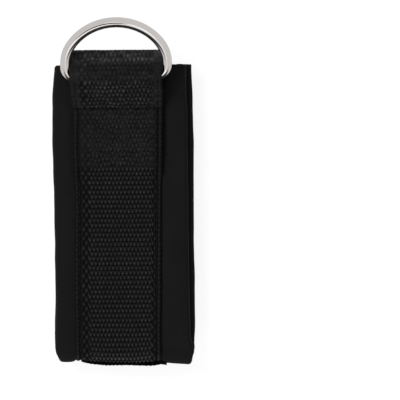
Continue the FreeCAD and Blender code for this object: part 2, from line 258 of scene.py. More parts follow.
class Graph:
    """Short calls for a node tree. A value given as a socket is linked, and any other is set."""

    def __init__(self, tree):
        self.tree = tree

    def feed(self, node, inputs):
        for key, value in inputs.items():
            if isinstance(value, bpy.types.NodeSocket):
                self.tree.links.new(value, node.inputs[key])
            else:
                node.inputs[key].default_value = value

    def node(self, kind, inputs, **settings):
        made = self.tree.nodes.new(kind)
        for key, value in settings.items():
            setattr(made, key, value)
        self.feed(made, inputs)
        return made

    def math(self, operation, a, b=0.0, clamp=False):
        return self.node("ShaderNodeMath", {0: a, 1: b}, operation=operation, use_clamp=clamp).outputs[0]

    def times(self, a, b, clamp=False):
        return self.math("MULTIPLY", a, b, clamp)

    def plus(self, a, b):
        return self.math("ADD", a, b)

    def place(self, *scale):
        """Object coordinates, scaled on each axis."""
        place = self.node("ShaderNodeTexCoord", {}).outputs["Object"]
        return self.node("ShaderNodeMapping", {"Vector": place, "Scale": scale}).outputs[0]

    def noise(self, scale, detail=2.0, roughness=0.5):
        """Noise with that many cells a metre, on each axis or on all of them."""
        vector = self.place(*np.broadcast_to(scale, 3))
        inputs = {"Vector": vector, "Scale": 1.0, "Detail": detail, "Roughness": roughness}
        return self.node("ShaderNodeTexNoise", inputs).outputs[0]

    def waves(self, direction, inputs):
        """Even bands, about 3.2 times their scale of them a metre."""
        inputs = {"Vector": self.place(1.0, 1.0, 1.0), **inputs}
        return self.node("ShaderNodeTexWave", inputs, bands_direction=direction).outputs["Fac"]

    def crown(self):
        """The value that each point of a webbing or tape mesh carries: 0 in its gaps, 1 on its crowns."""
        return self.node("ShaderNodeAttribute", {}, attribute_name="crown").outputs["Fac"]

    def spread(self, value, low, high):
        """A 0 to 1 value spread from low to high."""
        inputs = {"Value": value, "To Min": low, "To Max": high}
        return self.node("ShaderNodeMapRange", inputs).outputs[0]

    def step(self, value, start, end):
        """A smooth step from 0 to 1."""
        inputs = {"Value": value, "From Min": start, "From Max": end}
        return self.node("ShaderNodeMapRange", inputs, interpolation_type="SMOOTHSTEP").outputs[0]

    def colours(self, factor, stops):
        """Colours along a 0 to 1 factor."""
        made = self.node("ShaderNodeValToRGB", {"Fac": factor})
        elements = made.color_ramp.elements
        while len(elements) < len(stops):
            elements.new(0.5)
        for element, (place, colour) in zip(elements, stops):
            element.position = place
            element.color = (*colour, 1.0)
        return made.outputs[0]

    def bump(self, height, distance, strength=1.0):
        inputs = {"Height": height, "Distance": distance, "Strength": strength}
        return self.node("ShaderNodeBump", inputs).outputs[0]


def new_material(name):
    """A material and its graph."""
    made = bpy.data.materials.new(name)
    made.use_nodes = True
    return made, Graph(made.node_tree)


def finish_material(made, graph, **inputs):
    """Sets or links the shader's inputs, each named with _ for a space."""
    shader = made.node_tree.nodes["Principled BSDF"]
    graph.feed(shader, {key.replace("_", " "): value for key, value in inputs.items()})
    return made


def greys(*stops):
    """Stops of a colour ramp from (place, grey level) pairs."""
    return [(place, (level, level, level)) for place, level in stops]


def webbing_material():
    """Black polypropylene: shiny yarn crowns over gaps, painted shade and highlight, fine filaments along the
    yarn.
    """
    made, g = new_material("webbing")
    # Colour follows the crown value: painted shade in the gaps, painted highlight on the crowns, the roll and
    # the fold.
    level = g.times(g.crown(), g.spread(g.noise(260.0, 3.0), 0.72, 1.28))
    level = g.times(level, g.spread(g.noise((45.0, 30.0, 45.0)), 0.425, 0.575), clamp=True)
    stops = greys((0.0, 0.001), (0.15, 0.005), (0.3, 0.0115), (0.5, 0.0285), (1.0, 0.08))
    filaments = g.noise((9000.0, 420.0, 900.0))
    return finish_material(
        made, g, Base_Color=g.colours(level, stops), Roughness=g.spread(level, 0.8, 0.35),
        Specular_IOR_Level=0.05, Sheen_Weight=0.12, Sheen_Roughness=0.3,
        Normal=g.bump(filaments, 0.00006, 0.6))


def neoprene_material(name, level, cells, sheen):
    """Black knit laminated on foam: a fine even stitch with faint mottling."""
    made, g = new_material(name)
    rows = g.waves("X", {"Scale": cells / 6.28, "Distortion": 1.2, "Detail": 1.0, "Detail Scale": 3.0})
    knit_cells = g.noise((cells, cells * 0.7, cells))
    mottle = g.noise((70.0, 35.0, 70.0), 4.0, 0.6)
    shares = g.plus(g.times(mottle, 0.6), g.times(knit_cells, 0.4))
    colour = g.colours(shares, greys((0.25, level * 0.82), (0.5, level), (0.75, level * 1.22)))
    height = g.plus(rows, g.times(knit_cells, 1.4))
    return finish_material(
        made, g, Base_Color=colour, Roughness=g.spread(mottle, 0.82, 0.95), Specular_IOR_Level=0.03,
        Sheen_Weight=sheen, Sheen_Roughness=0.45, Normal=g.bump(height, 0.00008, 0.7))


def foam_material():
    """Fine closed-cell foam."""
    made, g = new_material("foam_core")
    inputs = {"Vector": g.place(1.0, 1.0, 1.0), "Scale": 2500.0}
    cells = g.node("ShaderNodeTexVoronoi", inputs).outputs["Distance"]
    return finish_material(
        made, g, Base_Color=g.colours(cells, greys((0.0, 0.006), (1.0, 0.02))), Roughness=0.9,
        Specular_IOR_Level=0.15, Normal=g.bump(cells, 0.0001, 0.8))


def thread_material():
    """Bonded black sewing thread, its plies twisted."""
    made, g = new_material("thread")
    plies = g.waves("DIAGONAL", {"Scale": 700.0, "Distortion": 0.5})
    return finish_material(
        made, g, Base_Color=g.colours(plies, greys((0.0, 0.003), (1.0, 0.011))), Roughness=0.5,
        Specular_IOR_Level=0.1, Normal=g.bump(plies, 0.00005, 0.8))


def tape_material(name, low, high, gloss):
    """Nylon hook-and-loop tape, tangled fibres over a woven ground."""
    made, g = new_material(name)
    fibres = g.noise(1800.0, 3.0, 0.7)
    # The crown value darkens the colour where the pile or the ribbed ground is low: painted shade.
    level = g.times(g.crown(), g.spread(fibres, 0.4, 1.6), clamp=True)
    return finish_material(
        made, g, Base_Color=g.colours(level, greys((0.0, low), (1.0, high))),
        Roughness=g.spread(fibres, 0.95, 0.7), Specular_IOR_Level=gloss, Normal=g.bump(fibres, 0.00025, 0.8))


def steel_material():
    """Polished, nickel-plated steel with faint polishing marks."""
    made, g = new_material("steel")
    marks = g.noise((2600.0, 300.0, 300.0), 2.0, 0.6)
    haze = g.noise(90.0)
    colour = g.colours(haze, [(0.3, (0.865, 0.84, 0.83)), (0.7, (0.905, 0.88, 0.87))])
    roughness = g.plus(g.spread(haze, 0.05, 0.09), g.spread(marks, 0.0, 0.03))
    return finish_material(
        made, g, Base_Color=colour, Metallic=1.0, Roughness=roughness, Normal=g.bump(marks, 0.00001, 0.25))


def floor_material():
    """Plain white, lit from inside like a product table."""
    made, g = new_material("floor_white")
    return finish_material(
        made, g, Base_Color=g.colours(g.noise(300.0), greys((0.0, 0.14), (1.0, 0.15))), Roughness=0.9,
        Specular_IOR_Level=0.02, Emission_Color=(1.0, 1.0, 1.0, 1.0), Emission_Strength=0.86)


WEBBING_LOOK = webbing_material()
PAD_LOOKS = {
    "cover": neoprene_material("pad_cover_knit", 0.0058, 1900.0, 0.06),
    "lining": neoprene_material("pad_lining_knit", 0.008, 1500.0, 0.03),
    "foam": foam_material(),
}
THREAD_LOOK = thread_material()
TAPE_LOOKS = {
    "loop_tape": tape_material("loop_tape_pile", 0.0004, 0.0035, 0.02),
    "hook_tape": tape_material("hook_tape_hooks", 0.001, 0.01, 0.1),
}
STEEL_LOOK = steel_material()


def finish_piece(obj, look, slot, bodies, *nodes):
    """Gives a piece its material, hides its nodes and hangs it on its body; a bend's piece keeps its place.
    slot is not used.
    """
    obj.data.materials.append(look)
    if nodes:
        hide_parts(*nodes)
    if isinstance(bodies, str):
        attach(obj, bodies)
    else:
        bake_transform(obj)
    return obj


# The two bends that cross a joint: bodies, start and end.
BEND_HALF = 3.6
FOLD_BEND = (
    "back_half", "front_half",
    (0, CREASE[1] * MM, (CREASE[2] - BEND_HALF) * MM),
    (0, CREASE[1] * MM, (CREASE[2] + BEND_HALF) * MM),
)
TAIL_BEND = (
    "back_half", "tail",
    (TAIL_AXIS[0] * MM, TAIL_AXIS[1] * MM, BACK_STRAP_HIGH[2] * MM),
    (TAIL_AXIS[0] * MM, TAIL_AXIS[1] * MM, 0.0),
)


# ---- pad

# The pad's rounded edges and corners, its layers, its pinch at the fold and its simulated swell.
EDGE_R = 2.1
CORNER_R = 1.6
COVER = 0.45
FOAM_INSET = COVER + 0.05
PAD_END = FRONT_HIGH[1] + 0.5
CREASE_GAP_Y = CREASE[1] + 0.01
PINCH = 0.7
SWELL_CAP = 0.55
FOAM_SWELL_CAP = 0.5
SWELL_FRAMES = 20
CLOTH = {
    "vertex_group_mass": "held", "mass": 0.05, "tension_stiffness": 6.0, "compression_stiffness": 6.0,
    "bending_stiffness": 0.3, "use_pressure": True, "uniform_pressure_force": 4.0, "shrink_min": -0.015,
}


def pinch(y):
    """How much thinner each half gets towards the fold."""
    return PINCH * ramp(y, -66.0, CREASE_GAP_Y)


# The X of each edge along Y. The front half is skewed a little on the back one, which shows on its right.
outline_left = outline(
    (-92.6, -36.0), (-90.3, -36.7), (-87.0, -37.5), (-80.0, -38.3), (-55.0, -38.1), (0.0, -38.6),
    (36.0, -39.1), (55.0, -38.7), (69.0, -37.6))
outline_right = outline(
    (-94.0, 36.2), (-91.5, 36.8), (-87.0, 37.7), (-80.0, 38.5), (-60.0, 38.9), (-20.0, 38.5), (24.0, 38.75),
    (50.0, 38.4), (69.0, 37.7))
front_right = outline((-87.0, 37.6), (-82.0, 36.8), (-70.0, 36.2), (-40.0, 35.7), (34.0, 35.1), (69.0, 34.6))
back_left = outline(
    (-87.0, -37.6), (-82.0, -36.9), (-70.0, -36.6), (-40.0, -36.3), (34.0, -35.7), (69.0, -35.3))
strap_left = outline(
    (-93.0, -26.5), (-70.0, -26.75), (-38.0, -26.7), (0.0, -26.45), (12.0, -26.85), (28.0, -27.25),
    (46.0, -27.2), (54.0, -28.4), (66.0, -28.9), (77.6, -28.2))
strap_right = outline(
    (-93.0, 19.4), (-70.0, 19.6), (-38.0, 20.0), (0.0, 20.45), (12.0, 20.8), (28.0, 21.1), (46.0, 21.3),
    (54.0, 21.4), (63.0, 21.2), (70.0, 21.9), (74.0, 21.6), (77.6, 20.8))

# How far the webbing's outer face and the loop tape's stand past the crease at the fold, along X.
strap_reach = outline(
    (-26.6, 4.35), (-23.0, 4.4), (-19.0, 4.75), (-14.0, 5.2), (-6.0, 5.6), (6.0, 5.95), (12.0, 5.75),
    (19.5, 5.1))
tape_reach = outline(
    (-23.9, 4.8), (-20.0, 5.8), (-16.0, 6.35), (-12.0, 6.8), (0.0, 6.9), (8.5, 7.2), (14.0, 7.3), (17.0, 6.9),
    (19.5, 6.6), (22.7, 6.9))
FOLD_LEFT, FOLD_RIGHT = -26.4, 19.4


def strap_edges(y, is_front):
    """The X of the webbing's edges on one half."""
    return (strap_left(y), strap_right(y)) if is_front else (BACK_STRAP_LOW[0], BACK_STRAP_HIGH[0])


def contour(left, right, half_height, middle, bottom, edge=EDGE_R, across=44, round_points=7):
    """Half of the pad's cross-section, from its left edge over the top to its right edge: x, z and an upward
    share. bottom turns it over. The sizes may be arrays of one value per section."""
    turn = np.linspace(0, math.pi / 2, round_points)
    share = np.linspace(0, 1, across)[1:-1]
    given = (left, right, half_height, middle, edge)
    left, right, half_height, middle, edge = (np.atleast_1d(a)[:, None] for a in given)
    x_left = left + edge * (1 - np.cos(turn))
    x_right = right - edge * (1 - np.cos(turn[::-1]))
    x_top = left + edge + (right - left - 2 * edge) * share
    x = np.concatenate([x_left, x_top, x_right], 1)
    rise = np.concatenate([np.sin(turn), np.ones(len(share)), np.sin(turn[::-1])])[None, :]
    z = middle + (-1 if bottom else 1) * half_height * rise
    return x, z, np.repeat(rise, x.shape[0], 0)


def half_stations(step):
    """Places along a half of the pad: close together at its rounded free end."""
    run = np.arange(CREASE_GAP_Y, PAD_END - EDGE_R, step)
    end = PAD_END - EDGE_R * (1 - np.sin(np.linspace(0, math.pi / 2, 9)[:-1]))
    return np.concatenate([run, end, [PAD_END - 0.02]])


def half_contour(y, is_front, inset, bottom, across=44):
    """One face of a half of the pad, as points for each station y, set in from the pad's surface."""
    left = outline_left(y) if is_front else back_left(y)
    right = front_right(y) if is_front else outline_right(y)
    before_end = np.clip(PAD_END - y, 0, None)
    cut_corner = np.clip(CORNER_R - before_end, 0, None)
    share = np.sqrt(np.clip(1 - (1 - np.clip(before_end / EDGE_R, 0, 1)) ** 2, 0.0, 1))
    corner = CORNER_R - np.sqrt(np.clip(CORNER_R ** 2 - cut_corner ** 2, 0, None))
    low = (LINING_LOW if is_front else BACK_LOW)[2]
    middle = low + PAD / 2
    height = np.clip((PAD / 2) * share - inset, 0.02, None)
    edge = np.clip(EDGE_R * share - inset, 0.02, None)
    wobble = 0.15 * noise(y / 9.0, y * 0, 11 if is_front else 12)
    left, right = left + corner + inset + wobble, right - corner - inset + wobble
    x, z, rise = contour(left, right, height, middle, bottom, edge, across)
    y_grid = np.repeat(np.minimum(y, PAD_END - inset)[:, None], x.shape[1], 1)
    if is_front != bottom:
        z -= (1 if is_front else -1) * rise * (pinch(y_grid) + seat(x, y_grid, is_front))
    return np.stack([x, y_grid, z], -1)


def seat(x, y, is_front):
    """How deep the outer cover dips: under the strap, at its sewn edges and in soft waves on the flaps."""
    left, right = strap_edges(y, is_front)
    from_edge = np.minimum(np.abs(x - left), np.abs(x - right))
    under = (x > left) & (x < right)
    dip = np.where(under, 0.12 + 0.2 * lobe(from_edge, 2.4, 1.6), 0.34 * np.exp(-from_edge / 2.2))
    waves = 0.1 * noise(x / 13.0, y / 21.0, 21) + 0.05 * noise(x / 5.0, y / 8.0, 22)
    flap = ramp(from_edge, 1.0, 6.0) * (~under)
    return dip - waves * flap


def shell(name, outer, inner, crown=None):
    """A thin closed shell between two matching faces."""
    return loft(name, np.concatenate([outer, inner[:, ::-1]], 1), crown)


def solid(top, bottom):
    """Sections of a full body between two faces that meet at their edges."""
    return np.concatenate([top, bottom[:, ::-1][:, 1:-1]], 1)


def simulated_swell(is_front):
    """Puffs up a coarse copy of one half of the pad with its strap and fold held. Returns its points and how
    far each one moved. Cloth needs sizes near a metre, so the copy is enlarged."""
    enlarge = 10.0
    y = half_stations(2.6)
    sections = solid(*(half_contour(y, is_front, 0.0, bottom, 26) for bottom in (False, True)))
    obj = loft("swell", sections * enlarge)
    rest = sections.reshape(-1, 3)
    x, y_all = rest[:, 0], rest[:, 1]
    left, right = strap_edges(y_all, is_front)
    held = (x > left - 1.0) & (x < right + 1.0) | (y_all < CREASE_GAP_Y + 3.0)
    group = obj.vertex_groups.new(name="held")
    group.add(np.nonzero(held)[0].tolist(), 1.0, "REPLACE")
    cloth = obj.modifiers.new("Cloth", "CLOTH")
    for key, value in CLOTH.items():
        setattr(cloth.settings, key, value)
    cloth.settings.effector_weights.gravity = 0.0
    cloth.point_cache.frame_start = 1
    cloth.point_cache.frame_end = SWELL_FRAMES
    scene = bpy.context.scene
    for number in range(1, SWELL_FRAMES + 1):
        scene.frame_set(number)
    evaluated = obj.evaluated_get(bpy.context.evaluated_depsgraph_get())
    mesh = evaluated.to_mesh()
    moved = np.zeros(len(mesh.vertices) * 3)
    mesh.vertices.foreach_get("co", moved)
    evaluated.to_mesh_clear()
    shift = moved.reshape(-1, 3) / MM / enlarge - rest
    data = obj.data
    bpy.data.objects.remove(obj)
    bpy.data.meshes.remove(data)
    scene.frame_set(1)
    return rest, shift


def follow_swell(obj, swell, cap, outward):
    """Moves a fine mesh with its half's coarse swell, each point by no more than cap and none towards the
    other half: outward is 1 where the half may rise and -1 where it may sink."""
    if swell is None:
        return
    rest, shift = swell
    length = np.linalg.norm(shift, axis=1)[:, None]
    shift = shift * np.minimum(1, cap / np.maximum(length, 1e-9))
    tree = KDTree(len(rest))
    for i, point in enumerate(rest):
        tree.insert(point, i)
    tree.balance()
    for vertex in obj.data.vertices:
        near = tree.find_n(vertex.co / MM, 6)
        weights = np.array([1 / (d + 0.4) ** 2 for _, _, d in near])
        moves = np.array([shift[i] for _, i, _ in near])
        move = Vector((weights[:, None] * moves).sum(0) / weights.sum())
        move.z = outward * max(outward * move.z, 0)
        vertex.co += move * MM


def build_half(name, is_front):
    """Cover, lining and foam of one half of the pad."""
    y = half_stations(1.6)
    body = name + "_half"
    swell = simulated_swell(is_front)
    outward = 1 if is_front else -1
    for part, bottom in (("cover", not is_front), ("lining", is_front)):
        outer = half_contour(y, is_front, 0.0, bottom)
        inner = half_contour(y, is_front, COVER, bottom)
        obj = shell("pad_" + name + "_" + part, outer, inner)
        follow_swell(obj, swell, SWELL_CAP, outward)
        finish_piece(obj, PAD_LOOKS[part], "pad_" + part, body, name + "_" + part)
    faces = (half_contour(y, is_front, FOAM_INSET, bottom) for bottom in (False, True))
    foam = loft("pad_" + name + "_foam", solid(*faces))
    follow_swell(foam, swell, FOAM_SWELL_CAP, outward)
    finish_piece(foam, PAD_LOOKS["foam"], "foam", body, name + "_foam")


def pad_reach(x):
    """How far the pad stands past the crease: squeezed by the strap, fuller at its right end."""
    under = strap_reach(x) - WEBBING - 0.15
    left = curve(x, (-36.0, 4.6), (-30.0, 4.7), (-27.6, 4.3), (FOLD_LEFT, 3.2))
    right = curve(x, (FOLD_RIGHT, 3.9), (20.6, 5.0), (24.0, 5.6), (30.0, 6.1), (36.0, 6.5))
    return np.where(x < FOLD_LEFT, left, np.where(x > FOLD_RIGHT, right, under))


def fold_faces(inset, is_outer, turns):
    """One face of the pad round the bottom fold, set in from its surface, at each angle from the top."""
    rough_y = CREASE[1] - 4.9 * np.sin(turns)
    left = outline_left(rough_y) + inset
    right = outline_right(rough_y) - inset
    half = (PAD_OUTER_R - PAD_INNER_R) / 2
    edge = np.full_like(turns, EDGE_R - inset)
    x, _, rise = contour(left, right, half - inset, 0.0, False, edge)
    turn = np.repeat(turns[:, None], x.shape[1], 1)
    tuck = np.cos(turn) ** 2
    at_fold = np.full_like(x, CREASE_GAP_Y)
    dip = np.where(turn < math.pi / 2, seat(x, at_fold, True), seat(x, at_fold, False))
    reach = PAD_OUTER_R - (PINCH + dip) * tuck + (pad_reach(x) - PAD_OUTER_R) * (1 - tuck)
    middle = (reach + PAD_INNER_R) / 2
    span = (reach - PAD_INNER_R) / 2 - inset
    radius = middle + (1 if is_outer else -1) * span * rise
    y = CREASE[1] - radius * np.sin(turn)
    z = CREASE[2] + radius * np.cos(turn)
    return np.stack([x, y, z], -1)


def build_pad_fold():
    """Cover, lining and foam round the bottom fold."""
    turns = np.linspace(0, math.pi, 33)
    for part, is_outer in (("cover", True), ("lining", False)):
        obj = shell("pad_fold_" + part, fold_faces(0.0, is_outer, turns), fold_faces(COVER, is_outer, turns))
        finish_piece(obj, PAD_LOOKS[part], "pad_" + part, FOLD_BEND, "fold_" + part)
    faces = (fold_faces(FOAM_INSET, is_outer, turns) for is_outer in (True, False))
    foam = loft("pad_fold_foam", solid(*faces))
    finish_piece(foam, PAD_LOOKS["foam"], "foam", FOLD_BEND, "fold_foam")


# ---- webbing

# The weave is laid out on webbing of this half width. Its pebbles are PITCH apart across and PERIOD along a
# column, and GROOVE is where its edges are sewn down.
NOMINAL_HALF = 24.2
PITCH = 1.085
PERIOD = 5.16
ROW = PERIOD / 2
RELIEF = 0.46
GROOVE = 21.5
BAND_LEFT, MIDDLE_LEFT, MIDDLE_RIGHT, BAND_RIGHT = -20.6, -16.3, 18.9, 21.2
# What crushed webbing has in place of its pebbles, and the palest tone.
FLAT_RELIEF = 0.62
FLAT_TONE = 0.45
TONE_MAX = 2.0


def pebbles(u, s, pitch, period, half_width, half_length, seed):
    """Columns of yarn floats, each next one half a period on: height and tone, from 0 to 1."""
    column = np.floor(u / pitch)
    best = np.zeros(np.broadcast(u, s).shape)
    tone = np.zeros_like(best)
    for step in (-1, 0, 1):
        c = column + step
        across = u - (c + 0.5) * pitch
        phase = s / period + 0.5 * np.mod(c, 2) + 0.05 * noise(c * 0.31, s / 9.0, seed)
        row = np.floor(phase)
        along = (phase - row - 0.5) * period
        size = 0.9 + 0.2 * hash01(c, row, seed + 1)
        height = 0.8 + 0.2 * hash01(c, row, seed + 2)
        across = across + 0.12 * (hash01(c, row, seed + 3) - 0.5)
        dome = np.clip(1 - (across / half_width) ** 2 - (along / (half_length * size)) ** 2, 0, 1)
        best = np.maximum(best, height * dome ** 0.65)
        # The tone is painted shade in the gaps and a painted highlight along each float's middle.
        painted_highlight = 0.5 + 0.5 * lobe(along, 0, 0.36 * half_length)
        tone = np.maximum(tone, height * dome ** 0.4 * painted_highlight)
    return best, tone


def weave(u, s):
    """The webbing's outer face at its nominal width: height and tone, 0 in the gaps and 1 on the crowns."""
    # The tone is painted shade in the gaps, a painted shadow beside each weft and a painted highlight on the
    # crowns.
    middle = pebbles(u, s, PITCH, PERIOD, 0.66, 1.72, 3)
    band = pebbles(u, s, 1.55, 5.1, 0.85, 1.9, 13)
    beat = np.cos(2 * math.pi * s / ROW)
    rib = np.sqrt(np.clip(1 - ((np.abs(u) - 23.05) / 0.95) ** 2, 0, 1))
    inner_rib = 0.4 * np.sqrt(np.clip(1 - ((np.abs(u) - 20.75) / 0.4) ** 2, 0, 1))
    in_middle = (u > MIDDLE_LEFT) & (u < MIDDLE_RIGHT)
    in_band = (u > BAND_LEFT) & (u < BAND_RIGHT) & ~in_middle
    pulled = lobe(np.abs(u), GROOVE, 0.55) * lobe(np.mod(s, 4.4), 2.2, 0.7)
    wave = 0.16 * np.cos(math.pi * u / PITCH)
    weft = lobe(np.mod(s + 0.85 + wave + ROW / 2, ROW) - ROW / 2, 0, 0.34)
    shadow = lobe(np.mod(s - 0.95 + wave + ROW / 2, ROW) - ROW / 2, 0, 0.36)
    middle = (np.maximum(middle[0], 0.5 * weft), np.maximum(middle[1] * (1 - 0.6 * shadow), 0.52 * weft))
    faces = []
    for pebble, blob, level in ((middle[0], band[0], 1.0), (middle[1], band[1], 0.72)):
        face = np.where(in_middle, pebble, np.where(in_band, 0.75 * blob, 0))
        face = np.maximum(face, rib * (0.52 + 0.12 * beat) * level)
        face = np.maximum(face, np.maximum(inner_rib, 0.1 + 0.04 * beat) * level)
        faces.append(face)
    return np.clip(faces[0] - 0.35 * pulled, -0.4, 1), np.clip(faces[1], 0, 1)


def side_path(points, radii, step):
    """Even points of a side-view path of straight runs and tangent arcs, with the normals to its right."""
    points = [np.array(p, float) for p in points]
    dense = [points[0]]
    for i, radius in enumerate(radii):
        corner = points[i + 1]
        before = corner - points[i]
        after = points[i + 2] - corner
        before /= np.linalg.norm(before)
        after /= np.linalg.norm(after)
        turn = math.acos(np.clip(before @ after, -1, 1))
        cut = radius * math.tan(turn / 2)
        enter = corner - before * cut
        side = np.sign(before[0] * after[1] - before[1] * after[0])
        normal = np.array([-before[1], before[0]]) * side
        centre = enter + normal * radius
        for angle in np.linspace(0, turn, max(3, int(radius * turn / 0.05))):
            a = angle * side
            spoke = enter - centre
            dense.append(centre + np.array([spoke[0] * math.cos(a) - spoke[1] * math.sin(a),
                                            spoke[0] * math.sin(a) + spoke[1] * math.cos(a)]))
    dense.append(points[-1])
    return resample(np.array(dense), step)


def resample(dense, step):
    """Even points along a line, their distances along it and the unit normals to its right."""
    length = distances(dense)[-1]
    s = np.linspace(0, length, int(round(length / step)) + 1)
    near = 0.12
    along = unit(on_line(dense, s + near) - on_line(dense, s - near))
    return s, on_line(dense, s), np.stack([along[:, 1], -along[:, 0]], -1)


def straight(y_start, y_end, z, step, up=1):
    """A level path whose normals point up, or down where up is -1."""
    s, place, normal = resample(np.array([[y_start, z], [y_end, z]]), step)
    return s, place, normal * up * np.sign(normal[0, 1])


def build_webbing(name, node, bodies, path, start, edges, lift, calm=None, shade=None, plain_inside=False):
    """A length of the webbing along a side-view path. start is its place along the whole strap and edges the
    X of its edges, one or one a point. lift(x, s, place) moves it along its normal, calm(u, s) scales its
    relief and shade(x, s) its tone. u is the place across the webbing at its nominal width."""
    s, place, normal = path
    columns = int(round(2 * NOMINAL_HALF / (PITCH / 4))) + 1
    u = np.linspace(-NOMINAL_HALF, NOMINAL_HALF, columns)[None, :]
    s_all = (s + start)[:, None]
    left, right = (np.broadcast_to(edge, s.shape)[:, None] for edge in edges)
    x = (left + right) / 2 + u / NOMINAL_HALF * (right - left) / 2
    fringe = 0.09 * np.cos(2 * math.pi * s_all / ROW) + 0.12 * noise(s_all / 7.0, s_all * 0, 31)
    x = x + fringe * np.clip(np.abs(u) - 21.5, 0, 2.7) / 2.7 * np.sign(u)
    crown, tone = weave(u, s_all + bow(u, s_all, place))
    weak = 1.0 if calm is None else calm(u, s_all)
    edge_drop = 0.5 * np.clip((np.abs(u) - 23.4) / 0.8, 0, 1) ** 2
    outer = WEBBING / 2 - RELIEF + RELIEF * (crown * weak + (1 - weak) * FLAT_RELIEF) - edge_drop
    raised = lift(x, s_all, place)
    if plain_inside:
        pick = np.unique(np.linspace(0, columns - 1, 12).astype(int))
        inner = np.full((len(s), len(pick)), -WEBBING / 2)
        inner_tone = 0.5 + 0 * inner
    else:
        pick = np.arange(0, columns, 2)
        inner_crown, inner_tone = weave(-u[:, pick], s_all)
        inner = -(WEBBING / 2 - 0.3 + 0.3 * inner_crown) + edge_drop[:, pick]
    inner_points = lay(x[:, pick], place, normal, inner + raised[:, pick])
    left_side, right_side = (lay(x[:, k] + 0.12 * sign, place, normal, raised[:, k])
                             for k, sign in (([0], -1), ([columns - 1], 1)))
    sections = [lay(x, place, normal, outer + raised), right_side, inner_points[:, ::-1], left_side]
    tone = tone * weak + (1 - weak) * FLAT_TONE
    # The shade function scales the tone with painted light: painted highlight and painted shade.
    if shade is not None:
        tone = tone * shade(x, s_all)
    side_tone = np.full((len(s), 1), 0.5)
    tones = [np.clip(tone, 0, TONE_MAX), side_tone, inner_tone[:, ::-1], side_tone]
    obj = loft("webbing_" + name, np.concatenate(sections, 1), np.concatenate(tones, 1))
    finish_piece(obj, WEBBING_LOOK, "webbing", bodies, node)


def lay(x, place, normal, height):
    """Points over a side-view path, height along its normal."""
    y = place[:, 0:1] + normal[:, 0:1] * height
    z = place[:, 1:2] + normal[:, 1:2] * height
    return np.stack([x + 0 * y, y, z], -1)


def bow(u, s, place):
    """Rows sag in the middle and close up towards the fold, where the webbing is pulled round it."""
    sag = ramp(place[:, 0:1], -70.0, -90.0) * (1.9 * (u / NOMINAL_HALF) ** 2 - 0.6)
    crushed = np.where(s < 0, 0.84, ramp(s, -3.0, 1.0) * (1 - ramp(s, 31.0, 34.0)))
    jumble = 0.75 * noise(u / 2.6, s / 2.1, 43) + 0.5 * noise(u / 1.2, s / 3.1, 44)
    return sag + 0.05 * noise(u / 6.0, s / 11.0, 41) + crushed * jumble


def box_lines(u, s):
    """Distance to the nearest row of the box and cross of stitches, and 1 inside the box."""
    half = (STITCH_HIGH[0] - STITCH_LOW[0]) / 2
    y = SEAM_Y - s
    low, high = STITCH_LOW[1] + ROW_INSET, STITCH_HIGH[1] - ROW_INSET
    inside = (np.abs(u) < half) & (y > low) & (y < high)
    length = math.hypot(2 * half, high - low)
    first = np.abs((u + half) * (high - low) - (y - low) * 2 * half) / length
    second = np.abs((u - half) * (high - low) + (y - low) * 2 * half) / length
    frame_x = np.maximum(np.abs(np.abs(u) - half), np.clip(np.maximum(low - y, y - high), 0, None))
    frame_y = np.maximum(np.minimum(np.abs(y - low), np.abs(y - high)), np.clip(np.abs(u) - half, 0, None))
    nearest = np.minimum(frame_x, frame_y)
    nearest = np.where(inside, np.minimum(nearest, np.minimum(first, second)), nearest)
    return nearest, inside


# Rows of thread lie this far inside their CAD box. Each hole has its place across the seam and its width.
ROW_INSET = 0.25
NEEDLE_HOLES = ((-1.4, 0.95), (10.8, 1.0), (16.5, 0.7), (-13.4, 0.8))


def needle_holes(x, s):
    """1 in the middle of each hole beside the seam."""
    return sum(lobe(x - STRAP_X, place_x, width) * lobe(s, 0.4, 0.8) for place_x, width in NEEDLE_HOLES)


def front_painted_shade(x, s):
    """Painted shade in the needle holes and in a line along the seam."""
    seam = lobe(s, 0.35, 0.4) * (0.55 + 0.3 * noise(x / 2.4, 0 * x, 57))
    return np.clip((1 - 1.15 * needle_holes(x, s)) * (1 - seam), 0, 1)


def front_calm(u, s):
    """The box of stitches crushes the pebbles unevenly."""
    zone = ramp(s, -0.5, 2.0) * (1 - ramp(s, 31.0, 34.5))
    crushed = 0.42 + 0.3 * noise(u / 3.1, s / 2.6, 51) + 0.15 * noise(u / 1.3, s / 1.1, 52)
    return 1 - zone * np.clip(crushed, 0.05, 0.85) * (1 - ramp(np.abs(u), 19.0, 22.5))


def front_lift(x, s, place):
    """Dips along the sewn rows, at the needle holes and towards the fold, and soft waves between them."""
    y = place[:, 0:1]
    left, right = strap_left(y), strap_right(y)
    u = (x - (left + right) / 2) * NOMINAL_HALF / ((right - left) / 2)
    nearest, inside = box_lines(u, s)
    zone = ramp(s, -1.0, 0.6) * (1 - ramp(s, 32.0, 34.0))
    sewn = -0.2 * np.exp(-(nearest / 0.9) ** 2) * zone
    puff = 0.16 * ramp(nearest, 1.0, 5.0) * inside
    rows = -0.28 * lobe(np.abs(u), GROOVE, 0.9) * (1 - zone)
    waves = 0.10 * noise(x / 11.0, y / 16.0, 61) + 0.05 * noise(x / 4.0, y / 5.0, 62)
    return sewn + puff + rows + waves - 0.95 * needle_holes(x, s) - pinch(y)


def build_front_strap():
    """The upper webbing from the seam, over the tucked-in end, down to the fold."""
    half = WEBBING / 2
    upper = STRAP_HIGH[2] - half
    lower = TUCK_LOW[2] + half
    step_top = TUCK_LOW[1] - 0.8
    points = [(SEAM_Y, upper), (step_top, upper), (step_top - 3.5, lower), (CREASE_GAP_Y, lower)]
    s, place, normal = side_path(points, [3.0, 3.0], PERIOD / 12)
    path = (s, place, normal * np.sign(normal[0, 1]))
    build_webbing("front", "front_strap", "front_half", path, 0.0, strap_edges(place[:, 0], True), front_lift,
                  front_calm, front_painted_shade, plain_inside=True)
    return s[-1]


